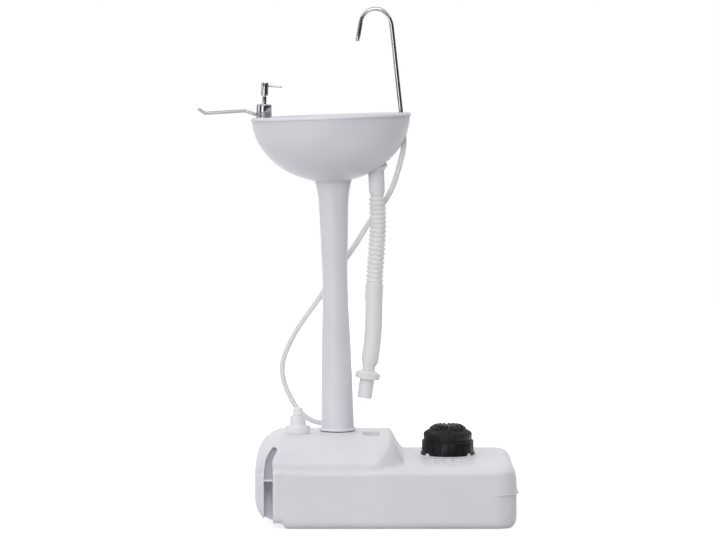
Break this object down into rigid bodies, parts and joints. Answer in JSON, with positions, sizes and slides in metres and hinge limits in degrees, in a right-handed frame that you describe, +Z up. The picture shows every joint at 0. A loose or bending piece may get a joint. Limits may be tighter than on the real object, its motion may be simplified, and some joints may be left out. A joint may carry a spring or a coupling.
{
  "type": "portable wash basin",
  "caption": "Oval basin on a waisted column over a stepped water tank, with a foot pump, gooseneck tap, soap dispenser, towel bar and waste hose.",
  "frame": {"origin": "centre of the tank's underside, on the floor", "axes": "X along the tank to the end with the foot pump, the front is -Y, Z up"},
  "size_m": [0.6407, 0.3276, 1.0326],
  "materials": {
    "tank_shell": "moulded, satin",
    "fill_cap": "moulded, satin",
    "fill_gasket": "smooth",
    "vent_stub": "moulded, satin",
    "outlet_elbow": "moulded, satin",
    "elbow_gasket": "smooth",
    "tank_hose_nut": "moulded, satin",
    "riser_tube": "translucent",
    "pump_housing": "moulded, semi-gloss",
    "pump_gasket": "smooth",
    "pump_retainer": "moulded, semi-gloss",
    "pump_tread": "moulded, semi-gloss",
    "pump_rod": "drawn",
    "pump_piston": "moulded, semi-gloss",
    "piston_seal": "smooth",
    "pump_spring": "drawn",
    "pump_cylinder": "moulded, satin",
    "intake_valve": "smooth",
    "intake_tube": "translucent",
    "intake_strainer": "moulded, satin",
    "outlet_port": "moulded, satin",
    "column": "moulded, satin",
    "column_collar": "moulded, satin",
    "column_sleeve": "moulded, satin",
    "basin_bowl": "moulded, satin",
    "basin_shroud": "moulded, satin",
    "drain_body": "moulded, satin",
    "drain_grid": "polished",
    "drain_screw": "polished",
    "drain_seal": "smooth",
    "drain_lower_seal": "smooth",
    "drain_nut": "moulded, satin",
    "drain_cuff": "moulded, satin",
    "drain_hose": "moulded, satin",
    "hose_end_nut": "moulded, satin",
    "drain_nozzle": "moulded, satin",
    "tap_spout": "polished",
    "tap_flange": "polished",
    "tap_shank": "polished",
    "tap_oring": "smooth",
    "tap_washer": "smooth",
    "tap_locknut": "polished",
    "tap_hose_nut": "moulded, satin",
    "supply_hose": "translucent",
    "soap_base": "polished",
    "soap_collar": "polished",
    "soap_guide": "polished",
    "soap_head": "polished",
    "soap_nozzle": "polished",
    "soap_stem": "polished",
    "soap_piston": "smooth",
    "soap_spring": "drawn",
    "soap_locknut": "moulded, satin",
    "soap_bottle": "translucent",
    "soap_dip_tube": "translucent",
    "towel_bar": "polished"
  },
  "bodies": {
    "stand": {"tank_shell": "tank_shell", "outlet_elbow": "outlet_elbow", "elbow_gasket": "elbow_gasket", "tank_hose_nut": "tank_hose_nut", "riser_tube": "riser_tube", "pump_housing": "pump_housing", "pump_gasket": "pump_gasket", "pump_retainer": "pump_retainer", "pump_spring": "pump_spring", "pump_cylinder": "pump_cylinder", "intake_valve": "intake_valve", "intake_tube": "intake_tube", "intake_strainer": "intake_strainer", "outlet_port": "outlet_port", "column": "column", "column_collar": "column_collar", "column_sleeve": "column_sleeve", "basin_bowl": "basin_bowl", "basin_shroud": "basin_shroud", "drain_body": "drain_body", "drain_grid": "drain_grid", "drain_screw": "drain_screw", "drain_seal": "drain_seal", "drain_lower_seal": "drain_lower_seal", "drain_nut": "drain_nut", "drain_cuff": "drain_cuff", "drain_hose": "drain_hose", "hose_end_nut": "hose_end_nut", "drain_nozzle": "drain_nozzle", "tap_flange": "tap_flange", "tap_shank": "tap_shank", "tap_oring": "tap_oring", "tap_washer": "tap_washer", "tap_locknut": "tap_locknut", "tap_hose_nut": "tap_hose_nut", "supply_hose": "supply_hose", "soap_base": "soap_base", "soap_collar": "soap_collar", "soap_spring": "soap_spring", "soap_locknut": "soap_locknut", "soap_bottle": "soap_bottle", "soap_dip_tube": "soap_dip_tube"},
    "pump_tread": {"pump_tread": "pump_tread", "pump_rod": "pump_rod", "pump_piston": "pump_piston", "piston_seal": "piston_seal"},
    "towel_bar": {"towel_bar": "towel_bar"},
    "soap_guide": {"soap_guide": "soap_guide"},
    "soap_head": {"soap_head": "soap_head", "soap_nozzle": "soap_nozzle", "soap_stem": "soap_stem", "soap_piston": "soap_piston"},
    "tap_spout": {"tap_spout": "tap_spout"},
    "fill_cap": {"fill_cap": "fill_cap", "vent_stub": "vent_stub", "fill_gasket": "fill_gasket"}
  },
  "joints": [
    {"name": "pump_press", "type": "slide", "parent": "stand", "child": "pump_tread", "axis": [0, 0, -1], "range_m": [0, 0.02], "stiffness_N_per_m": 1500, "springref_m": -0.008, "deforming": ["pump_spring"]},
    {"name": "soap_swivel", "type": "hinge", "parent": "stand", "child": "soap_guide", "pos_m": [-0.24432, 0, 0.80489], "axis": [0.0349, 0, 0.9994], "range_deg": [-180, 180]},
    {"name": "soap_press", "type": "slide", "parent": "soap_guide", "child": "soap_head", "axis": [-0.0349, 0, -0.9994], "range_m": [0, 0.012], "stiffness_N_per_m": 300, "springref_m": -0.005, "deforming": ["soap_spring"]},
    {"name": "towel_bar_swivel", "type": "hinge", "parent": "stand", "child": "towel_bar", "pos_m": [-0.24432, 0, 0.80489], "axis": [0.0349, 0, 0.9994], "range_deg": [-80, 80]},
    {"name": "tap_swivel", "type": "hinge", "parent": "stand", "child": "tap_spout", "pos_m": [0.03199, 0, 0.81502], "axis": [-0.108, 0, 0.9942], "range_deg": [-180, 180]},
    {"name": "fill_cap_lift", "type": "slide", "parent": "stand", "child": "fill_cap", "axis": [0, 0, 1], "range_m": [0, 0.06]}
  ]
}
